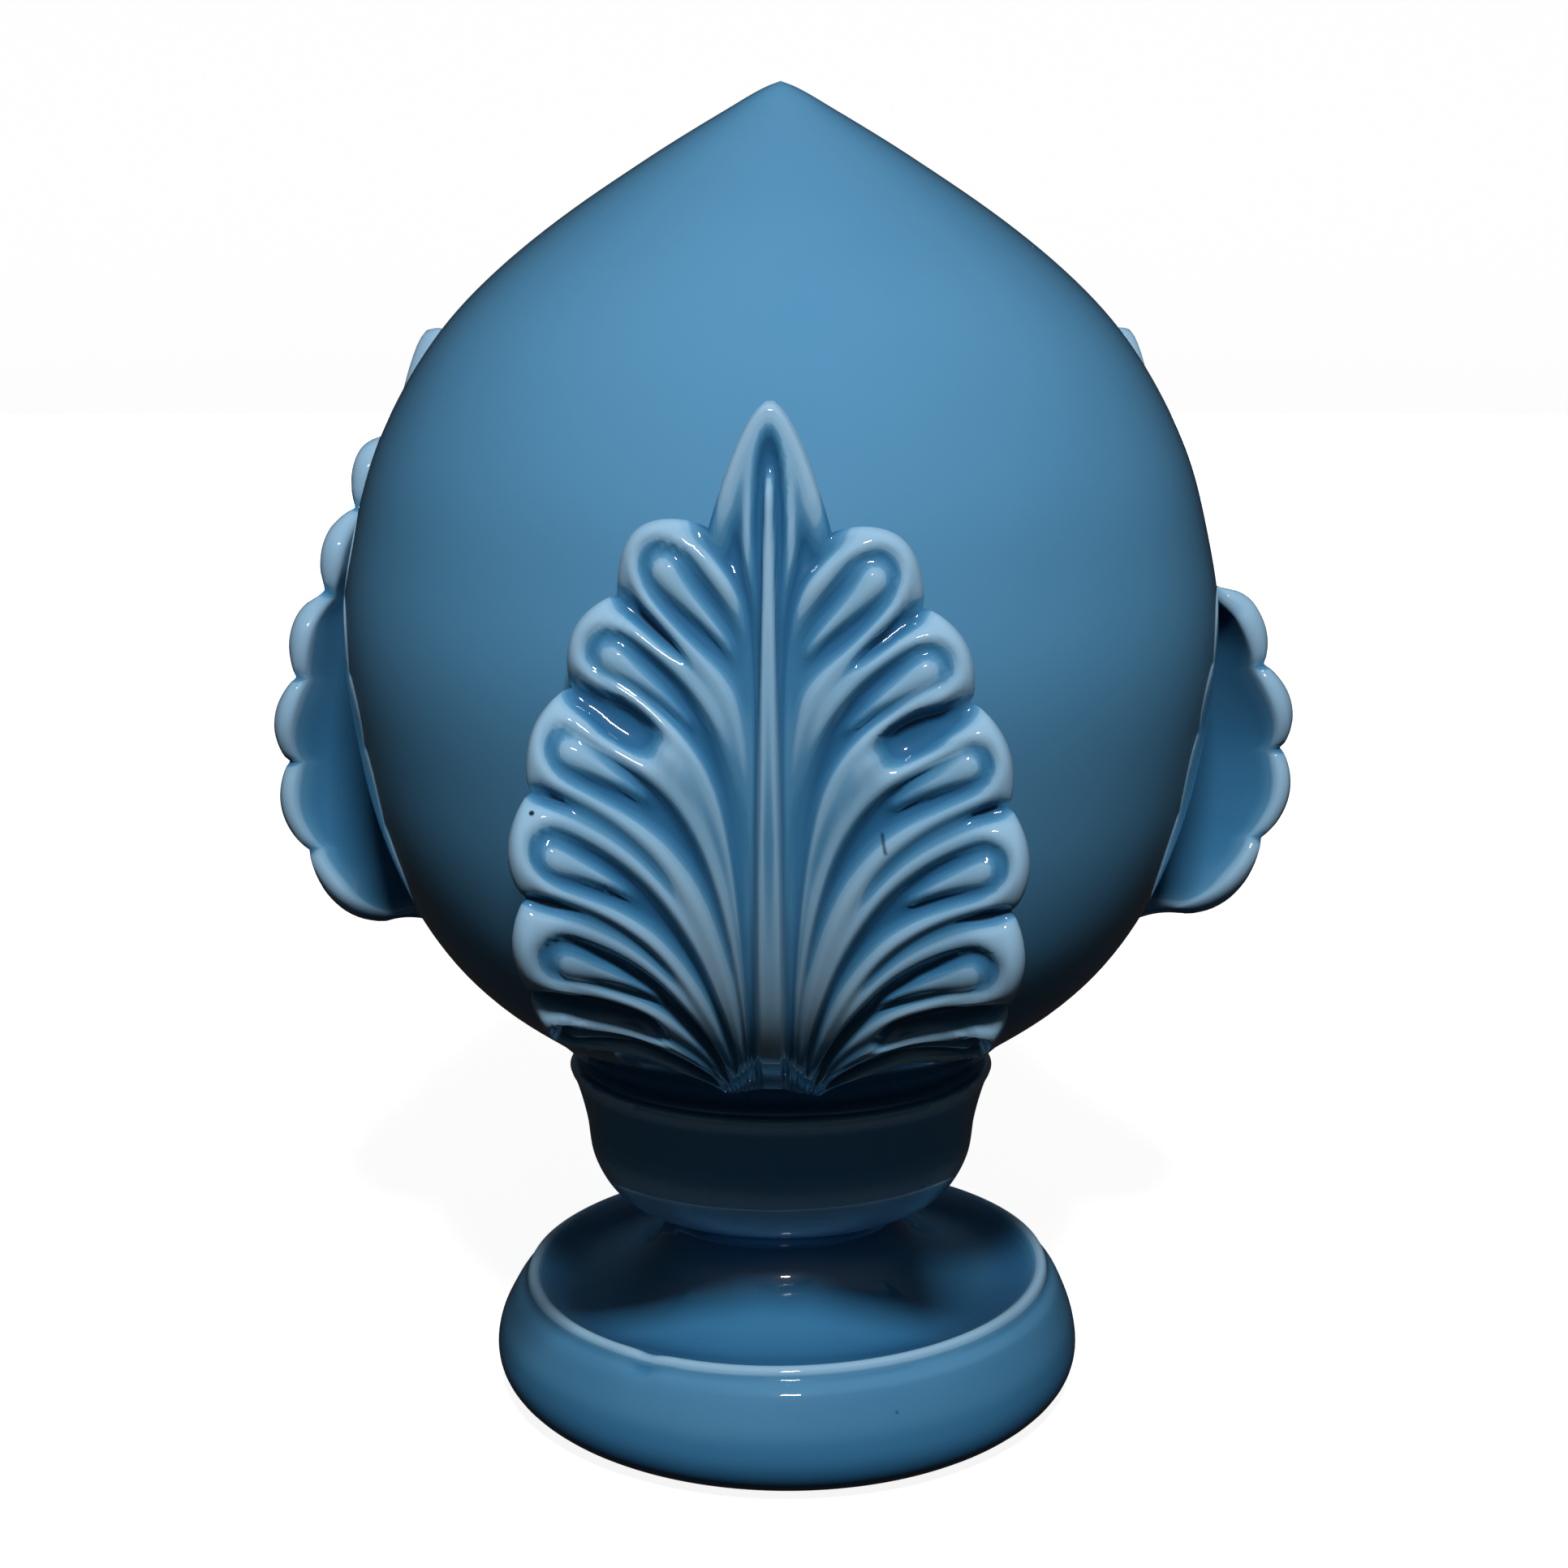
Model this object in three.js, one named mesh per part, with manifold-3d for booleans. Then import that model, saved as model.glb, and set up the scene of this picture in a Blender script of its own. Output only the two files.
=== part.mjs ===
// Ceramic pumo: a bud finial with three carved leaves, on a cup neck and a turned foot.
// Millimetres, +Z up, origin in the middle of the underside, front leaf towards -Y.
import * as THREE from 'three';
import { mergeVertices } from 'three/addons/utils/BufferGeometryUtils.js';
import Module from 'manifold-3d';

const wasm = await Module();
wasm.setup();

// Whole piece
const HEIGHT = 250;
const SEGMENTS = 52;

// Foot
const FOOT_BASE_RADIUS = 47.5;
const FOOT_RADIUS = 57.4;
const FOOT_WIDEST_Z = 7.5;
const CREST_RADIUS = 50.8;
const CREST_Z = 23.3;
const GROOVE_OUT = 1;
const DISH_DEPTH = 2.4;
const DISH_RADIUS = 42.5;
const STEM_RADIUS = 22.8;
const STEM_Z = 35.5;

// Cup neck and the lip the bud sits on
const CUP_BOTTOM_RADIUS = 27.5;
const CUP_BOTTOM_Z = 38.6;
const CUP_RADIUS = 37.8;
const CUP_Z = 55;
const LIP_RADIUS = 40.9;
const LIP_Z = 65.6;
const SEAT_RADIUS = 38.4;
const SEAT_Z = 67.2;

// Small irregularities of a hand-finished piece: the crest of the foot and the neck are not quite level,
// and the bud stands a little to one side of the middle of the foot.
const CREST_ROLL = 0.02;
const CREST_SLOPE = 0.02;
const NECK_SLOPE = 0.06;
const BUD_OFFSET = -1.2;

// Bud
const BUD_RADIUS = 80.9;
const BUD_WIDEST_Z = 152;
const TIP_RADIUS = 2.6;

// Leaves
const LEAF_TIP_Z = 203;
const LEAF_SHEET = 3.7;
const LEAF_SPINE = 7.5;
const RIDGE = 1.7;
const GROOVE = 0.7;
const BEAD = 1.5;
const RIB = 2.2;
const ROOT_SINK = 4;

// The valleys between the lobes, from the spear down: where each ends at the edge of the leaf (side, height),
// where it starts at the root (side), how far it climbs before it turns out, how far out and how much lower
// the second bend is, and how far the lobe above it swells past the two ends.
const VALLEYS = [
  { side: 9.8, z: 183.1, root: 2.0, climb: 0.99, reach: 0.09, drop: 12, swell: 0 },
  { side: 24.2, z: 171.8, root: 2.7, climb: 0.84, reach: 0.05, drop: 17.9, swell: 5.7 },
  { side: 31.7, z: 157.2, root: 3.4, climb: 0.985, reach: 0.52, drop: 11.4, swell: 3.7 },
  { side: 37.6, z: 141.1, root: 4.3, climb: 0.65, reach: 0.51, drop: 4.1, swell: 3.4 },
  { side: 38.0, z: 124.2, root: 5.4, climb: 0.46, reach: 0.47, drop: 2.7, swell: 3.2 },
  { side: 37.7, z: 106.1, root: 6.6, climb: 0.55, reach: 0.45, drop: 5.2, swell: 2.5 },
  { side: 28.0, z: 90.5, root: 8.0, climb: 0.55, reach: 0.72, drop: 0.5, swell: 4.2 },
];
const FRONT_VALLEYS = VALLEYS.with(-1, { ...VALLEYS.at(-1), side: 31, z: 94, swell: 3.2 });

// Each leaf: its place round the bud in degrees, how far its lowest lobes curl in and its upper lobes wrap
// round the bud, how far it tilts to one side as it rises, and how much lower one side of it hangs.
const LEAVES = [
  { turn: -1.2, curl: 16, wrap: 0, tilt: 0, skew: 0.027, valleys: FRONT_VALLEYS },
  { turn: 118.8, curl: 0, wrap: 5, tilt: 0.045, skew: 0.04, valleys: VALLEYS },
  { turn: 240.2, curl: 0, wrap: 1.5, tilt: 0, skew: 0.04, valleys: VALLEYS },
];
const TILT_Z = 125;
const ROOT_Z = 82;
const ROOT_DROP = 2;

const clamp = (x, a, b) => Math.min(b, Math.max(a, x));
const mix = (a, b, t) => a + (b - a) * t;

function smooth(a, b, x) {
  const t = clamp((x - a) / (b - a), 0, 1);
  return t * t * (3 - 2 * t);
}

function bump(x) {
  return Math.exp(-x * x);
}

// Smooth curve through a few stations [x, y], without overshoot.
function curve(stations) {
  const n = stations.length;
  const slope = [];
  for (let i = 0; i < n - 1; i += 1) {
    slope.push((stations[i + 1][1] - stations[i][1]) / (stations[i + 1][0] - stations[i][0]));
  }
  const tangent = [slope[0]];
  for (let i = 1; i < n - 1; i += 1) {
    const same = slope[i - 1] * slope[i] > 0;
    tangent.push(same ? (2 * slope[i - 1] * slope[i]) / (slope[i - 1] + slope[i]) : 0);
  }
  tangent.push(slope[n - 2]);
  return (x) => {
    let i = 0;
    while (i < n - 2 && x > stations[i + 1][0]) {
      i += 1;
    }
    const w = stations[i + 1][0] - stations[i][0];
    const t = clamp((x - stations[i][0]) / w, 0, 1);
    const a = (1 + 2 * t) * (1 - t) * (1 - t);
    const b = t * (1 - t) * (1 - t);
    const c = t * t * (3 - 2 * t);
    const d = t * t * (t - 1);
    return a * stations[i][1] + b * w * tangent[i] + c * stations[i + 1][1] + d * w * tangent[i + 1];
  };
}

// Radius of the bud at a height: a full belly, then a nearly straight cone to a blunt tip.
const below = (share) => mix(SEAT_Z, BUD_WIDEST_Z, share);
const above = (share) => mix(BUD_WIDEST_Z, HEIGHT, share);
const budRadius = curve([
  [below(0), SEAT_RADIUS],
  [below(0.09), BUD_RADIUS * 0.56],
  [below(0.19), BUD_RADIUS * 0.687],
  [below(0.33), BUD_RADIUS * 0.816],
  [below(0.5), BUD_RADIUS * 0.906],
  [below(0.7), BUD_RADIUS * 0.964],
  [BUD_WIDEST_Z, BUD_RADIUS],
  [above(0.275), BUD_RADIUS * 0.94],
  [above(0.42), BUD_RADIUS * 0.866],
  [above(0.57), BUD_RADIUS * 0.745],
  [above(0.717), BUD_RADIUS * 0.553],
  [above(0.864), BUD_RADIUS * 0.293],
  [above(0.953), BUD_RADIUS * 0.113],
  [above(0.99), TIP_RADIUS],
  [HEIGHT, 0],
]);

// Outline of the turned body, from the middle of the underside to the tip.
function bodyOutline() {
  const points = [[0, 0], [FOOT_BASE_RADIUS, 0]];
  for (let i = 1; i <= 3; i += 1) {
    const a = (i / 3) * Math.PI * 0.5;
    points.push([
      mix(FOOT_BASE_RADIUS, FOOT_RADIUS, Math.sin(a)),
      FOOT_WIDEST_Z * (1 - Math.cos(a)),
    ]);
  }
  for (const t of [0.3, 0.7]) {
    points.push([mix(FOOT_RADIUS, CREST_RADIUS, t ** 1.7) + 0.2, mix(FOOT_WIDEST_Z, CREST_Z, t)]);
  }
  points.push([CREST_RADIUS + GROOVE_OUT, CREST_Z - 1.9]);
  points.push([CREST_RADIUS + GROOVE_OUT - 0.3, CREST_Z - 1.1]);
  points.push([CREST_RADIUS + 0.25, CREST_Z - 0.1]);
  points.push([CREST_RADIUS - 1.4, CREST_Z]);
  points.push([CREST_RADIUS - 3.2, CREST_Z - DISH_DEPTH * 0.65]);
  for (const t of [0, 0.3, 0.56, 0.8, 1]) {
    const a = t * Math.PI * 0.5;
    points.push([
      mix(DISH_RADIUS, STEM_RADIUS, Math.sin(a) ** 1.15),
      mix(CREST_Z - DISH_DEPTH, STEM_Z, (1 - Math.cos(a)) ** 1.1),
    ]);
  }
  points.push([CUP_BOTTOM_RADIUS, CUP_BOTTOM_Z]);
  for (const t of [0.4, 1]) {
    const a = t * Math.PI * 0.5;
    points.push([
      mix(CUP_BOTTOM_RADIUS, CUP_RADIUS, Math.sin(a)),
      mix(CUP_BOTTOM_Z, CUP_Z, 1 - Math.cos(a)),
    ]);
  }
  points.push([CUP_RADIUS + 1.4, mix(CUP_Z, LIP_Z, 0.55)]);
  points.push([LIP_RADIUS, LIP_Z]);
  points.push([LIP_RADIUS - 0.9, LIP_Z + 0.9]);
  for (const t of [0, 0.09, 0.19, 0.33, 0.5, 0.7, 1]) {
    points.push([budRadius(below(t)), below(t)]);
  }
  for (const t of [0.15, 0.275, 0.42, 0.57, 0.717, 0.864, 0.953, 0.985]) {
    points.push([budRadius(above(t)), above(t)]);
  }
  points.push([0, HEIGHT]);
  return points.map(([r, z]) => new THREE.Vector2(r, z));
}

// Moves a point of the straight body to where the irregularities put it.
function settle(x, y, z) {
  const neck = smooth(STEM_Z - 6, CUP_BOTTOM_Z, z) * (1 - smooth(SEAT_Z, SEAT_Z + 18, z));
  const crest = smooth(FOOT_WIDEST_Z, CREST_Z - 3, z) * (1 - smooth(CREST_Z + 1, STEM_Z, z));
  const above = smooth(CREST_Z, CUP_BOTTOM_Z, z);
  return [
    x + BUD_OFFSET * above,
    y,
    z - NECK_SLOPE * y * neck + (CREST_ROLL * x - CREST_SLOPE * y) * crest,
  ];
}

function turnedBody() {
  const geometry = new THREE.LatheGeometry(bodyOutline(), SEGMENTS);
  geometry.rotateX(Math.PI / 2);
  const p = geometry.attributes.position;
  for (let i = 0; i < p.count; i += 1) {
    p.setXYZ(i, ...settle(p.getX(i), p.getY(i), p.getZ(i)));
  }
  return geometry;
}

// Distance of the leaf's face from the axis along its middle, and how it bends sideways.
const leafMiddle = curve([
  [66, 42],
  [78, 59],
  [92, 71.5],
  [108, 80.3],
  [126, 84.4],
  [146, 85.6],
  [168, 83.9],
  [186, 81.3],
  [LEAF_TIP_Z, 78.6],
]);
const leafBend = curve([
  [98, -0.0036],
  [112, -0.0043],
  [124, -0.0036],
  [140, -0.001],
  [157, 0.0018],
  [170, 0.003],
  [190, 0.006],
]);

const leafTwist = curve([[106, -0.01], [122, -0.015], [143, 0.01], [158, 0.06]]);

function leafFace(s, z, leaf) {
  const curled = leaf.curl * (1 - smooth(89, 107, z)) * (s / 38) ** 2;
  const wrapped = leaf.wrap * smooth(151, 163, z) * (s / 30) ** 2;
  return leafMiddle(z) - leafBend(z) * s * s + leafTwist(z) * s - curled - wrapped;
}

// Point at a height above the leaf's face, square to it. The leaf faces -Y here.
function leafPoint(s, z, lift, leaf) {
  const e = 0.5;
  const ds = (leafFace(s + e, z, leaf) - leafFace(s - e, z, leaf)) / (2 * e);
  const dz = (leafFace(s, z + e, leaf) - leafFace(s, z - e, leaf)) / (2 * e);
  const n = Math.hypot(ds, dz, 1);
  return [
    s + leaf.tilt * (z - TILT_Z) - (lift * ds) / n,
    -leafFace(s, z, leaf) - lift / n,
    z - leaf.skew * s - (lift * dz) / n,
  ];
}

// A valley as a curve from the root (v = 0) to the edge (v = 1), on the +X side.
function valley(valleys, index, v) {
  const k = valleys[index];
  const rootZ = ROOT_Z - (ROOT_DROP * index) / (valleys.length - 1);
  const w = 1 - v;
  const bend = [k.root + 0.12 * k.side * (index / 6), mix(rootZ, k.z, k.climb)];
  const turn = [k.side * k.reach, k.z - k.drop];
  return [
    w ** 3 * k.root + 3 * w * w * v * bend[0] + 3 * w * v * v * turn[0] + v ** 3 * k.side,
    w ** 3 * rootZ + 3 * w * w * v * bend[1] + 3 * w * v * v * turn[1] + v ** 3 * k.z,
  ];
}

// Where a place in a lobe lies on the leaf: lobe 0 is the spear, u runs across, v from the root to the edge.
function lobePlace(valleys, lobe, u, v) {
  const swellShare = smooth(0.55, 1, v);
  if (lobe === 0) {
    const [s, z] = valley(valleys, 0, v);
    const a = 2 * u - 1;
    const peak = smooth(0.45, 1, v) * (LEAF_TIP_Z - valleys[0].z) * (1 - Math.abs(a) ** 1.75);
    return [s * a, z + peak, 2 * s];
  }
  const [s0, z0] = valley(valleys, lobe - 1, v);
  const [s1, z1] = valley(valleys, lobe, v);
  const width = Math.hypot(s1 - s0, z1 - z0);
  const swell = valleys[lobe].swell * swellShare * Math.sin(Math.PI * u) ** 0.7;
  return [
    mix(s0, s1, u) + (swell * (z0 - z1)) / width,
    mix(z0, z1, u) + (swell * (s1 - s0)) / width,
    width,
  ];
}

// Carving: a raised loop round each lobe, a groove inside it and a drop-shaped bead; on the spear a rib.
function carving(valleys, lobe, u, v) {
  const a = Math.abs(2 * u - 1);
  const head = clamp((v - 0.8) / 0.2, 0, 1);
  const width = lobePlace(valleys, lobe, u, v)[2];
  const size = clamp(width / 12, 0, 1) ** 1.4;
  const ring = Math.hypot(a, head);
  const loop = RIDGE * bump((ring - 0.68) / 0.2) - GROOVE * bump((ring - 0.34) / 0.16);
  const edge = -1.5 * smooth(0.75, 1, ring) * size;
  if (lobe === 0) {
    const open = smooth(0.5, 0.8, v);
    const rib = RIB * bump(a / mix(0.75, 0.22, open)) * (1 - smooth(0.6, 1, head));
    return rib + open * loop * size + open * edge - (1 - open) * 0.6 * smooth(0.5, 1, a);
  }
  const drop = smooth(0.42, 0.74, v);
  const bead = (BEAD + GROOVE) * drop * bump(ring / mix(0.05, 0.24, drop));
  return size * (loop + bead) + edge;
}

const ACROSS = [0, 0.16, 0.33, 0.5, 0.67, 0.84];
const ALONG = [0, 0.25, 0.47, 0.64, 0.78, 0.87, 0.936, 1];

// Thickness behind the face: a thin sheet at the sides, a spine down the middle that joins the bud.
function backLift(s, z) {
  const spine = LEAF_SPINE * smooth(150, 112, z) + 2.9 * (1 - smooth(164, 184, z));
  return -(LEAF_SHEET + spine * bump(s / 8.5));
}

function leafGeometry(leaf) {
  const positions = [];
  const triangles = [];
  const add = (p) => positions.push(...p) / 3 - 1;
  const columns = [];
  const lobes = leaf.valleys.length - 1;
  for (let lobe = lobes; lobe >= 1; lobe -= 1) {
    for (let i = 0; i < ACROSS.length; i += 1) {
      const u = i === 0 ? 1 : 1 - ACROSS[i];
      columns.push({ lobe, u, sign: -1 });
    }
  }
  for (const u of ACROSS) {
    columns.push({ lobe: 0, u, sign: 1 });
  }
  for (let lobe = 1; lobe <= lobes; lobe += 1) {
    for (const u of ACROSS) {
      columns.push({ lobe, u, sign: 1 });
    }
  }
  columns.push({ lobe: lobes, u: 1, sign: 1 });
  const last = columns.length - 1;

  const place = (c, v) => {
    const [s, z] = lobePlace(leaf.valleys, columns[c].lobe, columns[c].u, v);
    return [s * columns[c].sign, z];
  };
  const rootPoint = (c) => {
    const [s, z] = place(c, 0);
    const low = z - ROOT_SINK;
    return [s * 0.95 + leaf.tilt * (low - TILT_Z), -(budRadius(low) - ROOT_SINK), low - leaf.skew * s];
  };

  const front = [columns.map((_, c) => add(rootPoint(c)))];
  for (const v of ALONG) {
    front.push(columns.map((column, c) => {
      const [s, z] = place(c, v);
      const rim = v === 1 || c === 0 || c === last;
      const lift = rim ? -LEAF_SHEET * 0.35 : carving(leaf.valleys, column.lobe, column.u, v);
      return add(leafPoint(s, z, lift, leaf));
    }));
  }
  for (let r = 0; r + 1 < front.length; r += 1) {
    for (let c = 0; c < last; c += 1) {
      const [a, b, d, e] = [front[r][c], front[r][c + 1], front[r + 1][c], front[r + 1][c + 1]];
      if (c % 6 < 3) {
        triangles.push(a, b, d, b, e, d);
      } else {
        triangles.push(a, b, e, a, e, d);
      }
    }
  }

  // The back keeps every third column; its outer ring is shared with the face.
  const step = 3;
  const back = front.map((row, r) => {
    if (r === 0 || r === front.length - 1) {
      return row.filter((_, c) => c % step === 0);
    }
    const v = ALONG[r - 1];
    return row.filter((_, c) => c % step === 0).map((id, k) => {
      const c = k * step;
      if (c === 0 || c === last) {
        return id;
      }
      const [s, z] = place(c, v);
      return add(leafPoint(s, z, backLift(s, z), leaf));
    });
  });
  const top = back.length - 1;
  for (let r = 0; r < top; r += 1) {
    for (let k = 0; k + 1 < back[r].length; k += 1) {
      const [a, b, d, e] = [back[r][k], back[r][k + 1], back[r + 1][k], back[r + 1][k + 1]];
      if (r === 0) {
        const ring = front[0].slice(k * step, (k + 1) * step + 1);
        triangles.push(ring[0], d, ring[1], ring[1], d, e, ring[1], e, ring[2], ring[2], e, ring[3]);
      } else if (r === top - 1) {
        const ring = front[top].slice(k * step, (k + 1) * step + 1);
        triangles.push(a, ring[0], ring[1], a, ring[1], b, b, ring[1], ring[2], b, ring[2], ring[3]);
      } else {
        triangles.push(a, d, b, b, d, e);
      }
    }
  }
  const geometry = new THREE.BufferGeometry();
  geometry.setAttribute('position', new THREE.Float32BufferAttribute(positions, 3));
  geometry.setIndex(triangles);
  return geometry;
}

function toSolid(geometry) {
  geometry.deleteAttribute('normal');
  geometry.deleteAttribute('uv');
  const merged = mergeVertices(geometry, 1e-4);
  return new wasm.Manifold(new wasm.Mesh({
    numProp: 3,
    vertProperties: new Float32Array(merged.attributes.position.array),
    triVerts: new Uint32Array(merged.index.array),
  }));
}

function toGeometry(solid) {
  const mesh = solid.getMesh();
  const geometry = new THREE.BufferGeometry();
  geometry.setAttribute('position', new THREE.BufferAttribute(new Float32Array(mesh.vertProperties), 3));
  geometry.setIndex(new THREE.BufferAttribute(new Uint32Array(mesh.triVerts), 1));
  geometry.computeVertexNormals();
  return geometry;
}

let solid = toSolid(turnedBody());
for (const leaf of LEAVES) {
  const geometry = leafGeometry(leaf);
  geometry.rotateZ(THREE.MathUtils.degToRad(leaf.turn));
  geometry.translate(BUD_OFFSET, 0, 0);
  solid = solid.add(toSolid(geometry));
}

const glaze = new THREE.MeshStandardMaterial({ name: 'blue_glaze', color: 0x4d86b3, roughness: 0.12, metalness: 0 });
const pumo = new THREE.Mesh(toGeometry(solid), glaze);
pumo.name = 'pumo';

const part = new THREE.Group();
part.name = 'ceramic_pumo';
part.add(pumo);

export default part;
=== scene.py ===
"""Looks of a blue glazed ceramic pumo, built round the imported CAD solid. Metres, +Z up, front towards -Y."""
import bpy
import math
import numpy as np
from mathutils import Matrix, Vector


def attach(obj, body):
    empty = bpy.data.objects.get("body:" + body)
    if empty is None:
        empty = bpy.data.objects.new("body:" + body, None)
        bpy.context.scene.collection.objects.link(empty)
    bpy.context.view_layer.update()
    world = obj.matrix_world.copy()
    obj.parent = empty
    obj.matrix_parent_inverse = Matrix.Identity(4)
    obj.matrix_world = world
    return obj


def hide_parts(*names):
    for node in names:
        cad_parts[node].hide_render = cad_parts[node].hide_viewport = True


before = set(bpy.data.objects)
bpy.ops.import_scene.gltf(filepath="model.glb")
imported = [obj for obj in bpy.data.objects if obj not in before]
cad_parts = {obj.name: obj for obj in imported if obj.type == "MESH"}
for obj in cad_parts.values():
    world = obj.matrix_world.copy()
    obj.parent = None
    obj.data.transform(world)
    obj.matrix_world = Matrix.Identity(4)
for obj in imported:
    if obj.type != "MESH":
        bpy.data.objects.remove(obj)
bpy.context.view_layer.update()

MM = 0.001

# Foot
HEIGHT = 250.0
FOOT_BASE_RADIUS = 47.5
FOOT_RADIUS = 57.4
FOOT_WIDEST_Z = 7.5
CREST_RADIUS = 50.8
CREST_Z = 23.3
DISH_DEPTH = 2.4
DISH_RADIUS = 42.5
GROOVE_OUT = 1.0
STEM_RADIUS = 22.8
STEM_Z = 35.5

# Cup neck and the lip the bud sits on
CUP_BOTTOM_RADIUS = 27.5
CUP_BOTTOM_Z = 38.6
CUP_RADIUS = 37.8
CUP_Z = 55.0
LIP_RADIUS = 40.9
LIP_Z = 65.6
SEAT_RADIUS = 38.4
SEAT_Z = 67.2

# Irregularities of a hand-finished piece
CREST_ROLL = 0.02
CREST_SLOPE = 0.031
NECK_SLOPE = 0.06
BUD_OFFSET = -1.2
SEAT_BLEND = 18.0
DENT = (-25.7, -44.1)
DENT_RADIUS = 2.4
DENT_DEPTH = 0.7

# Marks in the glaze, a pinhole, a nick and a speck: both ends, radius and how dark
MARKS = (
    ((-40.36, -87.14, 139.03), (-40.36, -87.14, 139.03), 0.42, 1.0),
    ((14.94, -85.91, 135.23), (15.43, -87.38, 132.44), 0.34, 0.5),
    ((19.84, -51.76, 16.68), (19.84, -51.76, 16.68), 0.35, 0.5),
)

# Bud
BUD_RADIUS = 80.9
BUD_WIDEST_Z = 152.0
TIP_RADIUS = 2.6
EVENING = 6.0

# Leaves
LEAF_TIP_Z = 203.0
LEAF_SHEET = 3.7
LEAF_SPINE = 7.5
SPINE_TOP = (150, 112)
TIP_SPINE = 2.9
TIP_SPINE_END = (164, 184)
SPINE_HALF = 8.5
RIM_RADIUS = 1.6
ROOT_SINK = 4.0
ROOT_Z = 82.0
ROOT_DROP = 2.0
TILT_Z = 125.0
CURL_END = (89, 107)
CURL_SIDE = 38.0
WRAP_START = (151, 163)
WRAP_SIDE = 30.0

# Carving: heights over the leaf's face, and its plan. A loop's top runs at the share LOOP_TOP of a lobe's
# half width and bends round at the share LOOP of its width from the edge. LOWEST_RIDGE, SPEAR_GROOVE and
# SPEAR_LOOP are factors for the lowest lobes and the spear.
RIDGE = 1.35
LOWEST_RIDGE = 1.5
GROOVE = 0.85
SPEAR_GROOVE = 0.5
BEAD = 1.35
CREASE = 1.0
RIB = 1.75
RIB_END = (187, 195)
LOOP = 0.46
LOOP_TOP = 0.7
SPEAR_LOOP = 0.92
BEAD_REACH = 22.5
ROUND_END = -0.07

# Mesh: points round the body, spacing of its rows, and points along and across each lobe
SEGMENTS = 184
OUTLINE_SPACING = 0.95
ROW_SPACING = 1.75
TIP_BAND = 16.0
ROWS = np.concatenate([np.linspace(0, 0.5, 11, endpoint=False), np.linspace(0.5, 0.96, 23),
                       (0.97, 0.98, 0.988, 0.994, 0.998, 1.0)])
ACROSS = 17

# Valleys between the lobes, from the spear down. Each ends at the edge (side, z), starts at the root (root),
# and climbs before it turns out (climb, reach, drop). swell is how far the lobe above it bulges. Its crease
# runs in from the edge to the share "closes" of the way, is "wide" across and may widen into a pocket. Inside
# that its two ridges merge with a dip between them, and they fade out between the shares "fade" and "full".
VALLEYS = (
    dict(side=9.8, z=183.1, root=2.0, climb=0.99, reach=0.09, drop=12.0, swell=0.0,
         closes=0.1, wide=0.3, dip=0.0, pocket=0.0, fade=0.52, full=0.8),
    dict(side=24.2, z=171.8, root=2.7, climb=0.84, reach=0.05, drop=17.9, swell=6.4,
         closes=0.8, wide=0.3, dip=0.12, pocket=0.0, fade=0.34, full=0.72),
    dict(side=31.7, z=157.2, root=3.4, climb=0.985, reach=0.52, drop=11.4, swell=3.7,
         closes=0.64, wide=0.62, dip=-0.12, pocket=0.5, fade=-0.1, full=0.6),
    dict(side=37.6, z=141.1, root=4.3, climb=0.65, reach=0.51, drop=4.1, swell=3.4,
         closes=0.87, wide=0.26, dip=0.42, pocket=0.05, fade=-0.1, full=0.6),
    dict(side=38.0, z=124.2, root=5.4, climb=0.46, reach=0.47, drop=2.7, swell=3.2,
         closes=0.87, wide=0.26, dip=0.45, pocket=0.05, fade=-0.1, full=0.6),
    dict(side=37.7, z=106.1, root=6.6, climb=0.55, reach=0.45, drop=5.2, swell=2.5,
         closes=0.56, wide=0.6, dip=0.0, pocket=0.4, fade=-0.1, full=0.55),
    dict(side=28.0, z=90.5, root=8.0, climb=0.55, reach=0.72, drop=0.5, swell=4.2,
         closes=0.0, wide=0.3, dip=0.0, pocket=0.0, fade=-0.1, full=0.55),
)
LOBES = len(VALLEYS) - 1
FRONT_VALLEYS = VALLEYS[:-1] + (dict(VALLEYS[-1], side=31.0, z=95.0, swell=3.2),)

# Each leaf: its place round the bud in degrees, how far its lowest lobes curl in and its upper lobes wrap
# round the bud, how far it tilts to one side as it rises, and how much lower one side of it hangs.
LEAVES = (
    dict(turn=-1.2, curl=6.0, wrap=0.0, tilt=0.0, skew=0.027, valleys=FRONT_VALLEYS),
    dict(turn=118.8, curl=0.0, wrap=5.0, tilt=0.045, skew=0.04, valleys=VALLEYS),
    dict(turn=240.2, curl=0.0, wrap=1.5, tilt=0.0, skew=0.04, valleys=VALLEYS),
)

# Glaze depth: on the bare bud and wall, how much deeper it pools at the leaves' roots and paints shade low
# under the bud, a little deeper on the foot's wall, and painted shade towards the bottom of the foot. Then its
# colour from
# THIN to DEEP, how far it is mottled, and the colour of the marks, which fade out between two shares of their
# radius.
BARE = -0.27
ROOT_POOL_AND_SHADE = 0.9
ROOT_POOL_AND_SHADE_END = (80, 101)
WALL_POOL = 0.12
FOOT_PAINTED_SHADE = 0.75
FOOT_PAINTED_SHADE_END = (4, 16)
GLAZE = (
    (0.0, (0.235, 0.4, 0.55)),
    (0.24, (0.19, 0.36, 0.52)),
    (0.44, (0.068, 0.215, 0.37)),
    (0.66, (0.036, 0.155, 0.3)),
    (1.0, (0.018, 0.1, 0.22)),
)
THIN = -1.1
DEEP = 0.7
MOTTLE = 0.3
MARK_COLOUR = (0.004, 0.012, 0.025)
MARK_CORE = 0.6
MARK_FADE = 1.5


def smooth(a, b, x):
    """Soft step from 0 at a to 1 at b."""
    t = np.clip((np.asarray(x, float) - a) / (b - a), 0.0, 1.0)
    return t * t * (3.0 - 2.0 * t)


def bump(x):
    return np.exp(-np.square(x))


def mix(a, b, t):
    return a + (b - a) * t


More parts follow.
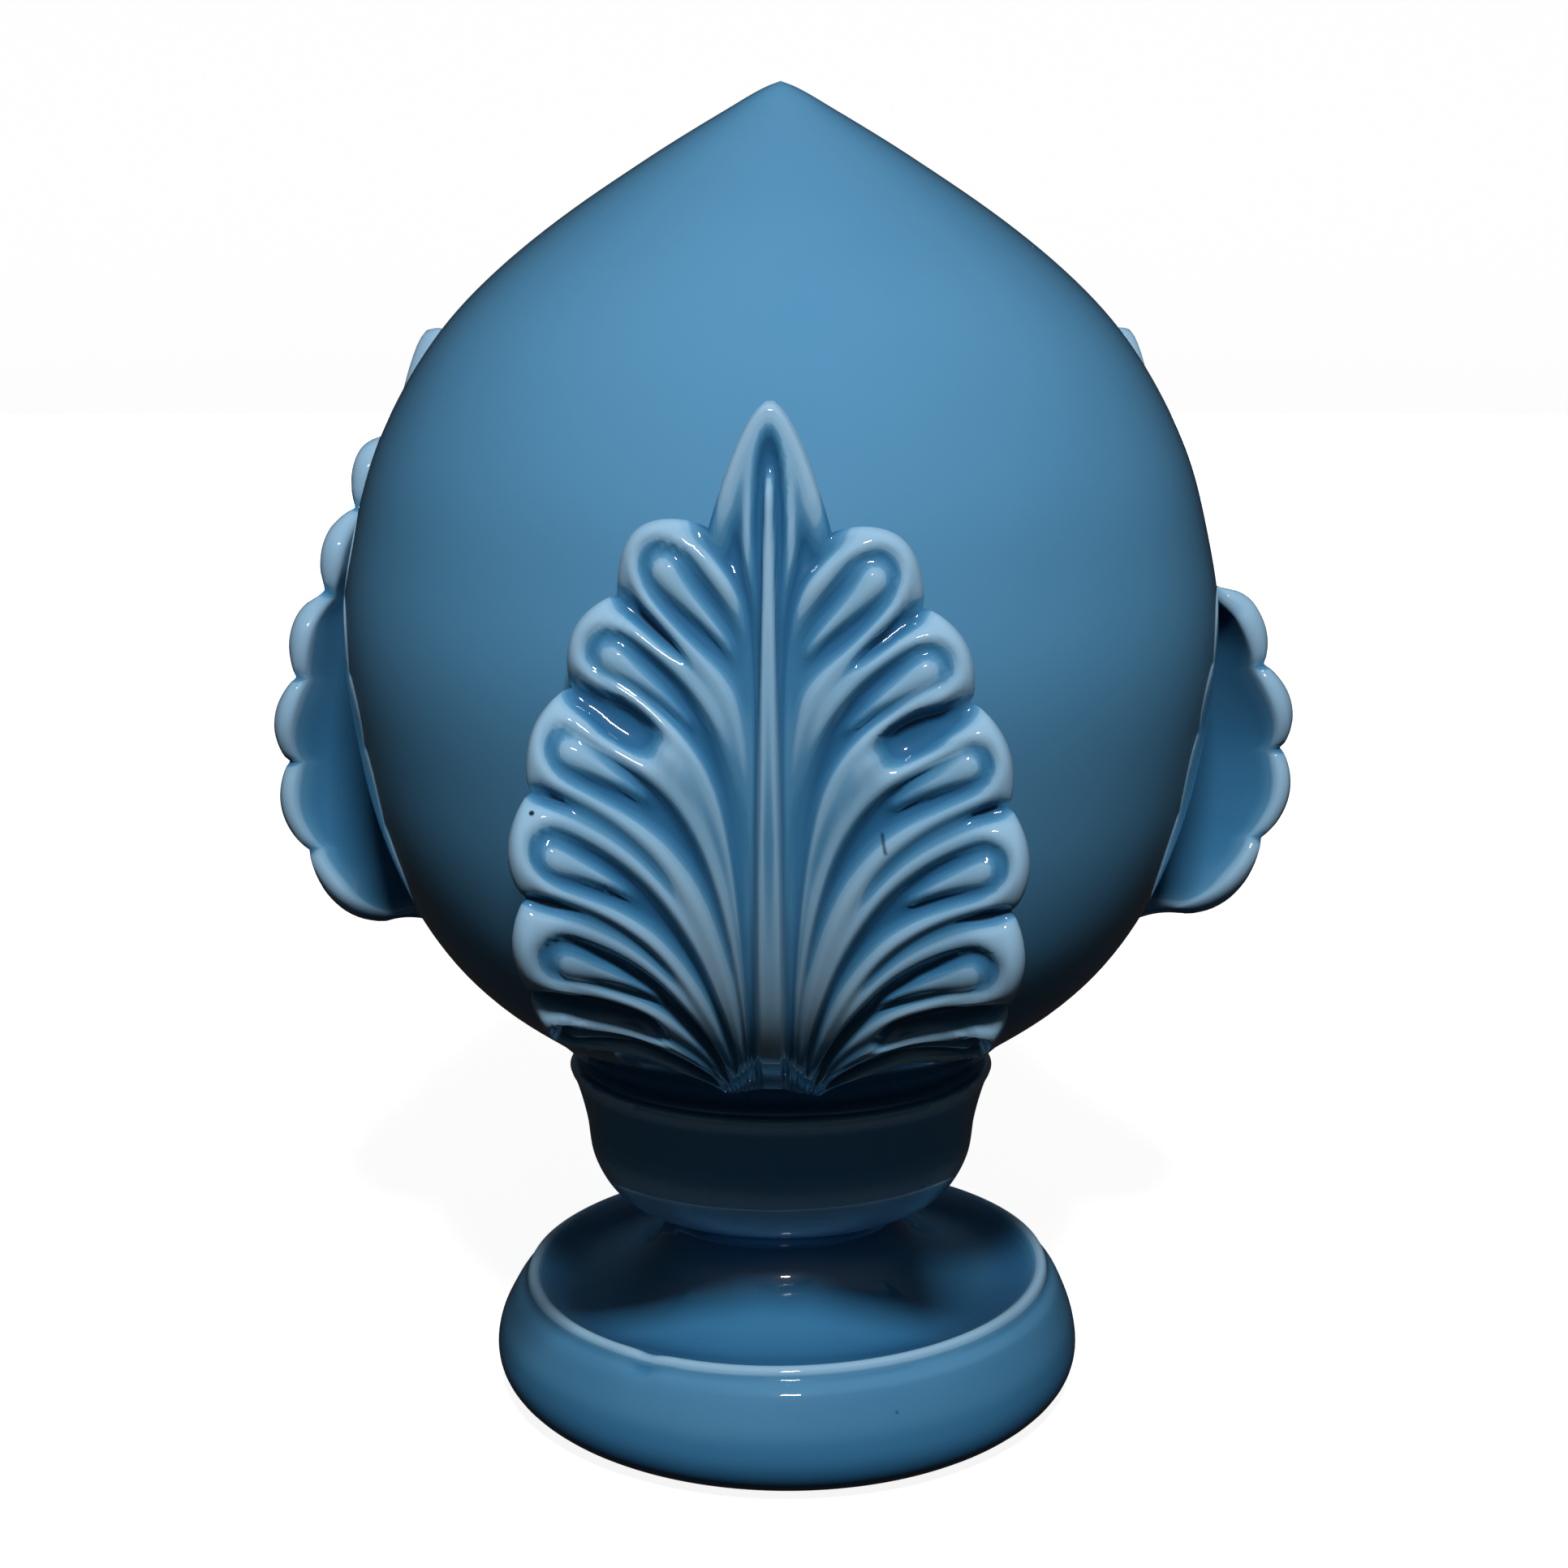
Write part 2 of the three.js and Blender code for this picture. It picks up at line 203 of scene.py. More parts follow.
def curve(stations):
    """Smooth curve through a few stations (x, y), without overshoot, held level past its ends."""
    xs = np.array([s[0] for s in stations], float)
    ys = np.array([s[1] for s in stations], float)
    slope = np.diff(ys) / np.diff(xs)
    tangent = np.zeros(len(xs))
    tangent[0] = slope[0]
    tangent[-1] = slope[-1]
    for i in range(1, len(xs) - 1):
        if slope[i - 1] * slope[i] > 0:
            tangent[i] = 2.0 * slope[i - 1] * slope[i] / (slope[i - 1] + slope[i])

    def value(x):
        x = np.clip(np.asarray(x, float), xs[0], xs[-1])
        i = np.clip(np.searchsorted(xs, x, side="right") - 1, 0, len(xs) - 2)
        w = xs[i + 1] - xs[i]
        t = (x - xs[i]) / w
        a = (1 + 2 * t) * (1 - t) ** 2
        b = t * (1 - t) ** 2
        c = t * t * (3 - 2 * t)
        d = t * t * (t - 1)
        return a * ys[i] + b * w * tangent[i] + c * ys[i + 1] + d * w * tangent[i + 1]

    return value


def below(share):
    """Height at a share of the way from the seat to the bud's widest level."""
    return mix(SEAT_Z, BUD_WIDEST_Z, share)


def above(share):
    """Height at a share of the way from the bud's widest level to its tip."""
    return mix(BUD_WIDEST_Z, HEIGHT, share)


bud_radius = curve((
    (below(0), SEAT_RADIUS),
    (below(0.09), BUD_RADIUS * 0.56),
    (below(0.19), BUD_RADIUS * 0.687),
    (below(0.33), BUD_RADIUS * 0.816),
    (below(0.5), BUD_RADIUS * 0.906),
    (below(0.7), BUD_RADIUS * 0.964),
    (BUD_WIDEST_Z, BUD_RADIUS),
    (above(0.275), BUD_RADIUS * 0.94),
    (above(0.42), BUD_RADIUS * 0.866),
    (above(0.57), BUD_RADIUS * 0.745),
    (above(0.717), BUD_RADIUS * 0.553),
    (above(0.864), BUD_RADIUS * 0.293),
    (above(0.953), BUD_RADIUS * 0.113),
    (above(0.99), TIP_RADIUS),
    (HEIGHT, 0.0),
))


def evened(profile, spread):
    """The same profile with its curvature evened out, but left as it is at the seat and the tip."""
    step = 0.5
    z = np.arange(SEAT_Z, HEIGHT, step)
    raw = profile(z)
    reach = int(4 * spread)
    weights = np.exp(-0.5 * (np.arange(-reach, reach + 1) * step / spread) ** 2)
    weights = weights / weights.sum()

    def spread_out(values):
        before = 2 * values[0] - values[reach:0:-1]
        after = 2 * values[-1] - values[-2:-reach - 2:-1]
        return np.convolve(np.concatenate([before, values, after]), weights, "valid")

    even = spread_out(raw)
    for _ in range(3):
        even = even + spread_out(raw - even)
    keep = np.maximum(1 - smooth(SEAT_Z + 2, SEAT_Z + 16, z), smooth(HEIGHT - 26, HEIGHT - 12, z))
    values = mix(even, raw, keep)

    def value(height):
        return np.where(np.asarray(height) >= z[-1], profile(height), np.interp(height, z, values))

    return value


bud_radius = evened(bud_radius, EVENING)


def spline_through(points, spacing):
    """Even points along a centripetal Catmull-Rom curve through (r, z) points."""
    p = np.array(points, float)
    p = np.vstack([2 * p[0] - p[1], p, 2 * p[-1] - p[-2]])
    out = []
    for i in range(1, len(p) - 2):
        p0, p1, p2, p3 = p[i - 1], p[i], p[i + 1], p[i + 2]
        t0 = 0.0
        t1 = t0 + math.sqrt(np.linalg.norm(p1 - p0))
        t2 = t1 + math.sqrt(np.linalg.norm(p2 - p1))
        t3 = t2 + math.sqrt(np.linalg.norm(p3 - p2))
        n = max(2, int(round(np.linalg.norm(p2 - p1) / spacing)))
        for t in np.linspace(t1, t2, n, endpoint=False):
            a1 = (t1 - t) / (t1 - t0) * p0 + (t - t0) / (t1 - t0) * p1
            a2 = (t2 - t) / (t2 - t1) * p1 + (t - t1) / (t2 - t1) * p2
            a3 = (t3 - t) / (t3 - t2) * p2 + (t - t2) / (t3 - t2) * p3
            b1 = (t2 - t) / (t2 - t0) * a1 + (t - t0) / (t2 - t0) * a2
            b2 = (t3 - t) / (t3 - t1) * a2 + (t - t1) / (t3 - t1) * a3
            out.append((t2 - t) / (t2 - t1) * b1 + (t - t1) / (t2 - t1) * b2)
    out.append(p[-2])
    return out


def quarter(share):
    """Sine and cosine at a share of a quarter turn."""
    a = share * math.pi / 2
    return math.sin(a), math.cos(a)


def foot_points():
    """The foot as (r, z), from its lower edge over the crest and through the dish to the stem."""
    edge = 0.25
    points = [(FOOT_BASE_RADIUS, edge)]
    for share in (0.25, 0.5, 0.75, 1.0):
        sine, cosine = quarter(share)
        points.append((mix(FOOT_BASE_RADIUS, FOOT_RADIUS, sine), edge + FOOT_WIDEST_Z * (1 - cosine)))
    for share in (0.3, 0.6, 0.78):
        points.append((mix(FOOT_RADIUS, CREST_RADIUS, share ** 1.7) + 0.2,
                       mix(FOOT_WIDEST_Z, CREST_Z, share)))
    points += [
        (CREST_RADIUS + GROOVE_OUT, CREST_Z - 1.9),
        (CREST_RADIUS + GROOVE_OUT - 0.3, CREST_Z - 1.1),
        (CREST_RADIUS + 0.25, CREST_Z - 0.15),
        (CREST_RADIUS - 0.6, CREST_Z + 0.2),
        (CREST_RADIUS - 1.6, CREST_Z - 0.2),
        (CREST_RADIUS - 3.2, CREST_Z - DISH_DEPTH * 0.55),
    ]
    for share in (0.0, 0.3, 0.56, 0.8, 0.93, 1.0):
        sine, cosine = quarter(share)
        points.append((mix(DISH_RADIUS, STEM_RADIUS, sine ** 1.15),
                       mix(CREST_Z - DISH_DEPTH, STEM_Z, (1 - cosine) ** 1.1)))
    return points


def neck_points():
    """The stem, the cup and its lip as (r, z), up to the bud's seat."""
    points = [(STEM_RADIUS + 0.9, STEM_Z + 1.6), (CUP_BOTTOM_RADIUS, CUP_BOTTOM_Z)]
    for share in (0.22, 0.42, 0.7, 1.0):
        sine, cosine = quarter(share)
        points.append((mix(CUP_BOTTOM_RADIUS, CUP_RADIUS, sine), mix(CUP_BOTTOM_Z, CUP_Z, 1 - cosine)))
    points += [
        (CUP_RADIUS + 1.4, mix(CUP_Z, LIP_Z, 0.55)),
        (LIP_RADIUS - 0.7, LIP_Z - 1.8),
        (LIP_RADIUS, LIP_Z - 0.3),
        (LIP_RADIUS - 0.9, LIP_Z + 0.75),
        (SEAT_RADIUS + 0.5, LIP_Z + 0.7),
        (SEAT_RADIUS + 0.2, SEAT_Z),
    ]
    return points


def body_outline():
    """Rows of the turned body as (r, z), from the middle of the underside up to just below the tip."""
    rows = [(0.0, 0.0), (FOOT_BASE_RADIUS * 0.55, 0.0), (FOOT_BASE_RADIUS - 0.8, 0.0)]
    rows += [tuple(point) for point in spline_through(foot_points() + neck_points(), OUTLINE_SPACING)]
    z = SEAT_Z + 1.0
    while z < HEIGHT - 0.05:
        rows.append((float(bud_radius(z)), z))
        z += ROW_SPACING if z < HEIGHT - TIP_BAND else max(0.12, (HEIGHT - z) * 0.09)
    return np.array(rows)


def settle(co):
    """Lean the neck, slope and dent the crest, and shift the bud to one side."""
    x, y, z = co[:, 0], co[:, 1], co[:, 2]
    neck = smooth(STEM_Z - 6, CUP_BOTTOM_Z, z) * (1 - smooth(SEAT_Z, SEAT_Z + SEAT_BLEND, z))
    crest = smooth(FOOT_WIDEST_Z, CREST_Z - 3, z) * (1 - smooth(CREST_Z + 1, STEM_Z, z))
    shift = smooth(CREST_Z, CUP_BOTTOM_Z, z)
    dent = DENT_DEPTH * bump(np.hypot(x - DENT[0], y - DENT[1]) / DENT_RADIUS) * crest
    out = co.copy()
    out[:, 0] = x + BUD_OFFSET * shift
    out[:, 2] = z - NECK_SLOPE * y * neck + (CREST_ROLL * x - CREST_SLOPE * y) * crest - dent
    return out


def body_mesh(segments):
    """Points and faces of the turned body."""
    rows = body_outline()
    turn = np.linspace(0, 2 * math.pi, segments, endpoint=False)
    rings = [np.stack([r * np.cos(turn), r * np.sin(turn), np.full(segments, z)], -1) for r, z in rows[1:]]
    co = np.vstack([[(0.0, 0.0, 0.0)]] + rings + [[(0.0, 0.0, HEIGHT)]])
    last = 1 + (len(rings) - 1) * segments
    tip = len(co) - 1
    faces = [(0, 1 + (s + 1) % segments, 1 + s) for s in range(segments)]
    for low in range(1, last, segments):
        high = low + segments
        for s in range(segments):
            t = (s + 1) % segments
            faces.append((low + s, low + t, high + t, high + s))
    faces += [(last + s, last + (s + 1) % segments, tip) for s in range(segments)]
    return settle(co), faces


# A leaf's face at each height: how far it stands out along the middle, how much it bends back towards its
# sides (minus where it bends forwards), and how much further one side stands out than the other.
leaf_middle = curve((
    (66, 42), (78, 59), (92, 71.5), (108, 80.3), (126, 84.4), (146, 85.6), (168, 83.9), (186, 81.3),
    (LEAF_TIP_Z, 78.6),
))
leaf_bend = curve((
    (98, -0.0036), (112, -0.0043), (124, -0.0036), (140, -0.001), (157, 0.0018), (170, 0.003), (190, 0.006),
))
leaf_twist = curve(((106, -0.01), (122, -0.015), (143, 0.01), (158, 0.06)))


def leaf_face(s, z, leaf):
    """How far the leaf's face stands out from the axis at side s and height z."""
    curled = leaf["curl"] * (1 - smooth(*CURL_END, z)) * (s / CURL_SIDE) ** 2
    wrapped = leaf["wrap"] * smooth(*WRAP_START, z) * (s / WRAP_SIDE) ** 2
    return leaf_middle(z) - leaf_bend(z) * s * s + leaf_twist(z) * s - curled - wrapped


def leaf_point(s, z, lift, leaf):
    """Point that stands off the leaf's face by lift, for a leaf in front."""
    e = 0.5
    ds = (leaf_face(s + e, z, leaf) - leaf_face(s - e, z, leaf)) / (2 * e)
    dz = (leaf_face(s, z + e, leaf) - leaf_face(s, z - e, leaf)) / (2 * e)
    n = np.sqrt(ds * ds + dz * dz + 1)
    x = s + leaf["tilt"] * (z - TILT_Z) - lift * ds / n
    return np.stack([x, -leaf_face(s, z, leaf) - lift / n, z - leaf["skew"] * s - lift * dz / n], -1)


def valley(valleys, index, v):
    """Side and height on a valley's line, at the share v of the way from the root to the edge."""
    k = valleys[index]
    root_z = ROOT_Z - ROOT_DROP * index / LOBES
    w = 1 - v
    bend = (k["root"] + 0.12 * k["side"] * index / 6, mix(root_z, k["z"], k["climb"]))
    turn = (k["side"] * k["reach"], k["z"] - k["drop"])
    s = w ** 3 * k["root"] + 3 * w * w * v * bend[0] + 3 * w * v * v * turn[0] + v ** 3 * k["side"]
    z = w ** 3 * root_z + 3 * w * w * v * bend[1] + 3 * w * v * v * turn[1] + v ** 3 * k["z"]
    return s, z


def lobe_place(valleys, lobe, u, v):
    """Side and height on the leaf, and the width of the lobe's band there. u runs across, v outwards."""
    if lobe == 0:
        s, z = valley(valleys, 0, v)
        a = 2 * u - 1
        peak = smooth(0.45, 1, v) * (LEAF_TIP_Z - valleys[0]["z"]) * (1 - np.abs(a) ** 1.75)
        return s * a, z + peak, 2 * s
    s0, z0 = valley(valleys, lobe - 1, v)
    s1, z1 = valley(valleys, lobe, v)
    width = np.hypot(s1 - s0, z1 - z0)
    fullness = 0.78 if lobe == 1 else 0.7
    swell = valleys[lobe]["swell"] * smooth(0.55, 1, v) * np.abs(np.sin(math.pi * u)) ** fullness
    return mix(s0, s1, u) + swell * (z0 - z1) / width, mix(z0, z1, u) + swell * (s1 - s0) / width, width


rib_half = curve(((82, 2.5), (118, 2.3), (150, 1.6), (170, 1.15), (192, 0.6)))


def from_edge(valleys, lobe, u, v):
    """Distance along the lobe to the leaf's outer edge."""
    e = 0.02
    s0, z0, _ = lobe_place(valleys, lobe, u, np.maximum(v - e, 0))
    s1, z1, _ = lobe_place(valleys, lobe, u, v)
    return (1 - v) * np.hypot(s1 - s0, z1 - z0) / e


def carving(valleys, lobe, u, v):
    """
    Height of the carving over the leaf's face: a raised loop round each lobe, a trough and a drop-shaped bead
    in it, creases between the lobes, and the middle rib.
    """
    a = 2 * u - 1
    side = np.abs(a)
    s, z, width = lobe_place(valleys, lobe, u, v)
    inward = from_edge(valleys, lobe, u, v)
    near = np.zeros(len(a), int) if lobe == 0 else np.where(a < 0, lobe - 1, lobe)
    names = ("wide", "closes", "dip", "pocket", "fade", "full")
    wide, closes, dip, pocket, fade, full = (np.array([k[name] for k in valleys])[near] for name in names)

    # The crease beside the loop, from the edge in to its round end
    crease = smooth(closes - 0.04, closes + 0.1, v + ROUND_END * np.square(np.minimum((1 - side) / wide, 1)))
    wide = wide * (1 - 0.4 * smooth(0.8, 1.0, v))

    # The loop's plan: ring grows from the lobe's middle to its border, and outward is 1 where the loop bends
    # round along the edge
    if lobe == 0:
        head = np.clip((v - 0.7) / 0.3, 0, 1)
        ring = SPEAR_LOOP * (side ** 1.4 + head ** 1.4) ** (1 / 1.4)
        outward = smooth(0.8, 0.95, v)
        end = 1 - 0.3 * smooth(0.8, 1.4, ring) - 0.5 * smooth(0.75, 1.0, side)
    else:
        head = np.clip(1 - inward / np.maximum(LOOP * width, 1.0), 0, 1) * smooth(0.6, 0.8, v)
        ring = np.hypot(a, head)
        outward = smooth(0.35, 0.9, head / np.maximum(ring, 0.01))
        end = bump((ring - LOOP_TOP) / 0.5)
    near_ring = ring * (1 + pocket * (1 - smooth(0.78, 0.97, v)) * smooth(0.1, 0.4, v))

    # Its height: apart from its neighbour where the crease is, together with it further in
    inner = 0.19 if lobe == 0 else mix(0.4, 0.22, smooth(0.45, 0.8, v))
    inside = near_ring < LOOP_TOP
    apart = bump((near_ring - LOOP_TOP) / np.where(inside, inner, 0.22))
    together = 1 - dip * smooth(0.68, 1.0, side) * smooth(0.35, 0.62, v)
    flank = mix(mix(together, apart, crease), end, outward)
    shape = np.where(inside, apart, flank)
    strength = smooth(fade, full, v)

    # The bead in the trough, the rib along the middle and the cut of the crease
    tail = 0.0
    if lobe > 0:
        tail = np.clip((BEAD_REACH - inward) / (BEAD_REACH - LOOP * width), 0, 1) ** 0.8
    bead = (BEAD + GROOVE) * tail ** 0.5 * (1 - smooth(0.1, 0.56, ring / np.maximum(tail, 0.12)))
    rib = (RIB + GROOVE) * (1 - smooth(0.6, 1.35, np.abs(s) / rib_half(z))) * (1 - smooth(*RIB_END, z))
    cut = CREASE * smooth(1 - wide, 1.0, side) * crease * smooth(0.35, 0.8, v)
    cut = np.where(near == 0, cut * (1 - smooth(0.8, 0.95, v)), cut)

    low = GROOVE * (SPEAR_GROOVE if lobe == 0 else 1.0)
    high = RIDGE * (LOWEST_RIDGE if lobe == LOBES else 1.0)
    return (high + low) * shape * strength - low + bead + rib - cut


def back_lift(s, z):
    """Depth of the leaf's back under its face: an even sheet, with a spine that reaches into the bud."""
    spine = LEAF_SPINE * smooth(*SPINE_TOP, z) + TIP_SPINE * (1 - smooth(*TIP_SPINE_END, z))
    return -(LEAF_SHEET + spine * bump(s / SPINE_HALF))


def rim_share(valleys, lobe, u, v):
    """Share of the sheet's half thickness that is left towards its edge, so that the edge is rounded."""
    inward = from_edge(valleys, lobe, u, v)
    if lobe == LOBES:
        inward = np.minimum(inward, (1 - u) * lobe_place(valleys, lobe, u, v)[2])
    t = 1 - np.clip(inward / RIM_RADIUS, 0, 1)
    return np.maximum(np.sqrt(1 - t * t), 0.05)


def leaf_mesh(leaf, across, rows):
    """Points and faces of a closed leaf in front, from its left edge over the spear to its right edge."""
    valleys = leaf["valleys"]
    columns = []
    for lobe in range(LOBES, 0, -1):
        for i in range(across):
            columns.append((lobe, 1 - i / across, -1))
    for i in range(across):
        columns.append((0, i / across, 1))
    for lobe in range(1, LOBES + 1):
        for i in range(across):
            columns.append((lobe, i / across, 1))
    columns.append((LOBES, 1.0, 1))
    n = len(columns)
    m = len(rows)
    front = np.zeros((m, n, 3))
    back = np.zeros((m, n, 3))
    middle = -LEAF_SHEET * 0.45
    for c, (lobe, u, sign) in enumerate(columns):
        across_u = np.full(m, u)
        s, z, _ = lobe_place(valleys, lobe, across_u, rows)
        s = s * sign
        share = rim_share(valleys, lobe, across_u, rows)
        face_lift = middle + (carving(valleys, lobe, across_u, rows) - middle) * share
        rear_lift = middle + (back_lift(s, z) - middle) * share
        front[:, c] = leaf_point(s, z, face_lift, leaf)
        back[:, c] = leaf_point(s, z, rear_lift, leaf)
    root = np.zeros((n, 3))
    for c, (lobe, u, sign) in enumerate(columns):
        s, z, _ = lobe_place(valleys, lobe, np.array([u]), np.array([0.0]))
        low = float(z[0]) - ROOT_SINK
        side = float(s[0]) * sign * 0.95 + leaf["tilt"] * (low - TILT_Z)
        root[c] = (side, -(float(bud_radius(low)) - ROOT_SINK), low)
    co = np.vstack([front.reshape(-1, 3), back.reshape(-1, 3), root])

    def front_at(r, c):
        return r * n + c

    def back_at(r, c):
        return m * n + r * n + c

    def root_at(c):
        return 2 * m * n + c

    edge = m - 1
    last = n - 1
    faces = []
    for r in range(edge):
        for c in range(last):
            faces.append((front_at(r, c), front_at(r, c + 1), front_at(r + 1, c + 1), front_at(r + 1, c)))
            faces.append((back_at(r, c), back_at(r + 1, c), back_at(r + 1, c + 1), back_at(r, c + 1)))
    for c in range(last):
        faces.append((front_at(edge, c), front_at(edge, c + 1), back_at(edge, c + 1), back_at(edge, c)))
        faces.append((root_at(c), root_at(c + 1), front_at(0, c + 1), front_at(0, c)))
        faces.append((root_at(c), back_at(0, c), back_at(0, c + 1), root_at(c + 1)))
    for r in range(edge):
        faces.append((front_at(r, 0), front_at(r + 1, 0), back_at(r + 1, 0), back_at(r, 0)))
        faces.append((front_at(r, last), back_at(r, last), back_at(r + 1, last), front_at(r + 1, last)))
    faces.append((root_at(0), front_at(0, 0), back_at(0, 0)))
    faces.append((root_at(last), back_at(0, last), front_at(0, last)))
    return co, faces


def turned(co, degrees):
    """The points turned round the upright axis."""
    a = math.radians(degrees)
    out = co.copy()
    out[:, 0] = co[:, 0] * math.cos(a) - co[:, 1] * math.sin(a)
    out[:, 1] = co[:, 0] * math.sin(a) + co[:, 1] * math.cos(a)
    return out


def mesh_object(name, co, faces):
    """Object of points in millimetres, linked to the scene."""
    mesh = bpy.data.meshes.new(name)
    mesh.from_pydata((co * MM).tolist(), [], faces)
    mesh.update()
    obj = bpy.data.objects.new(name, mesh)
    bpy.context.scene.collection.objects.link(obj)
    return obj


pumo = mesh_object("pumo_glazed", *body_mesh(SEGMENTS))
for leaf in LEAVES:
    co, faces = leaf_mesh(leaf, ACROSS, ROWS)
    co = turned(co, leaf["turn"])
    co[:, 0] += BUD_OFFSET
    carved = mesh_object("leaf", co, faces)
    join = pumo.modifiers.new("join", "BOOLEAN")
    join.operation = "UNION"
    join.solver = "MANIFOLD"
    join.object = carved
    depsgraph = bpy.context.evaluated_depsgraph_get()
    merged = bpy.data.meshes.new_from_object(pumo.evaluated_get(depsgraph))
    pumo.modifiers.clear()
    pumo.data = merged
    bpy.data.objects.remove(carved)


def vertex_rows(mesh, field):
    """The vertices' places (co) or normals (normal), as rows of x, y and z."""
    values = np.zeros(len(mesh.vertices) * 3)
    mesh.vertices.foreach_get(field, values)
    return values.reshape(-1, 3)


def cavity(mesh, passes):
    """How hollow the surface is at each vertex: positive in grooves, negative on ridges, in millimetres."""
    co = vertex_rows(mesh, "co") / MM
    normal = vertex_rows(mesh, "normal")
    edges = np.zeros(len(mesh.edges) * 2, int)
    mesh.edges.foreach_get("vertices", edges)
    start, end = edges.reshape(-1, 2).T
    weight = 1.0 / np.maximum(np.linalg.norm(co[start] - co[end], axis=1), 0.05)
    total = np.zeros(len(co))
    np.add.at(total, start, weight)
    np.add.at(total, end, weight)
    total = np.maximum(total, 1e-9)

    def evened_out(values, share):
        """Columns of values, each drawn by a share towards the mean of its neighbours."""
        neighbours = np.zeros_like(values)
        np.add.at(neighbours, start, values[end] * weight[:, None])
        np.add.at(neighbours, end, values[start] * weight[:, None])
        return (1 - share) * values + share * neighbours / total[:, None]

    even = co
    for _ in range(passes):
        even = evened_out(even, 0.6)
    depth = ((even - co) * normal).sum(1, keepdims=True)
    for _ in range(3):
        depth = evened_out(depth, 0.5)
    return depth[:, 0]


def store(mesh, name, values):
    """Keep one number for each vertex under a name that the material reads."""
    attribute = mesh.attributes.new(name, "FLOAT", "POINT")
    attribute.data.foreach_set("value", values.astype(np.float32))


def on_body(mesh):
    """Vertices on the bud and on the foot's wall, and every vertex's height."""
    x, y, z = vertex_rows(mesh, "co").T / MM
    r = np.hypot(x - BUD_OFFSET * smooth(CREST_Z, CUP_BOTTOM_Z, z), y)
    level = z + NECK_SLOPE * y * (1 - smooth(SEAT_Z, SEAT_Z + SEAT_BLEND, z))
    on_bud = (level > SEAT_Z + 0.5) & (np.abs(r - bud_radius(level)) < 0.4)
    on_foot_wall = (z < CREST_Z) & (r > CREST_RADIUS)
    return on_bud, on_foot_wall, z


def glaze_depth_and_shade(mesh):
    """Depth of the glaze at each vertex, thin on ridges and pooled in grooves and at the roots, plus painted
    shade low under the bud and towards the bottom of the foot's wall.
    """
    depth = cavity(mesh, 40) + 0.7 * cavity(mesh, 9)
    on_bud, on_foot_wall, z = on_body(mesh)
    depth = np.where(on_bud, mix(depth, BARE, smooth(SEAT_Z + 1, SEAT_Z + 14, z)), depth)
    wall = mix(np.maximum(depth, BARE), depth, smooth(CREST_Z - 2.5, CREST_Z - 0.8, z))
    # Painted shade: the foot's wall darker towards the bottom, added to a little deeper glaze over the whole
    # wall.
    wall = wall + WALL_POOL + FOOT_PAINTED_SHADE * (1 - smooth(*FOOT_PAINTED_SHADE_END, z))
    depth = np.where(on_foot_wall, wall, depth)
    # Painted shade: darker towards the bottom over the lower bud and the leaves' lowest lobes, partly glaze
    # pooled at their roots.
    return np.where(z > LIP_Z + 1.5, depth + ROOT_POOL_AND_SHADE * (1 - smooth(*ROOT_POOL_AND_SHADE_END, z)), depth)


store(pumo.data, "glaze_pool_and_shade", glaze_depth_and_shade(pumo.data))
for polygon in pumo.data.polygons:
    polygon.use_smooth = True


def node(tree, kind, place=(0, 0), **settings):
    """New node at a place in its tree, with its settings."""
    made = tree.nodes.new(kind)
    made.location = place
    for key, value in settings.items():
        setattr(made, key, value)
    return made


def marked(tree, coordinates, colour):
    """The colour with the marks laid over it, each a row of round spots."""
    link = tree.links.new
    spots = []
    for start, end, radius, dark in MARKS:
        steps = 1 + int(math.dist(start, end) / radius)
        for step in range(steps):
            share = step / max(1, steps - 1)
            spots.append(([mix(a, b, share) for a, b in zip(start, end)], radius, dark))
    for number, (place, radius, dark) in enumerate(spots):
        row = 500 + 180 * number
        away = node(tree, "ShaderNodeVectorMath", (300, row), operation="DISTANCE")
        link(coordinates.outputs["Object"], away.inputs[0])
        away.inputs[1].default_value = [value * MM for value in place]
        spot = node(tree, "ShaderNodeMapRange", (480, row), interpolation_type="SMOOTHSTEP")
        link(away.outputs["Value"], spot.inputs["Value"])
        spot.inputs["From Min"].default_value = radius * MARK_CORE * MM
        spot.inputs["From Max"].default_value = radius * MARK_FADE * MM
        spot.inputs["To Min"].default_value = dark
        spot.inputs["To Max"].default_value = 0.0
        stain = node(tree, "ShaderNodeMix", (660, row), data_type="RGBA")
        link(spot.outputs["Result"], stain.inputs[0])
        link(colour, stain.inputs[6])
        stain.inputs[7].default_value = (*MARK_COLOUR, 1)
        colour = stain.outputs[2]
    return colour


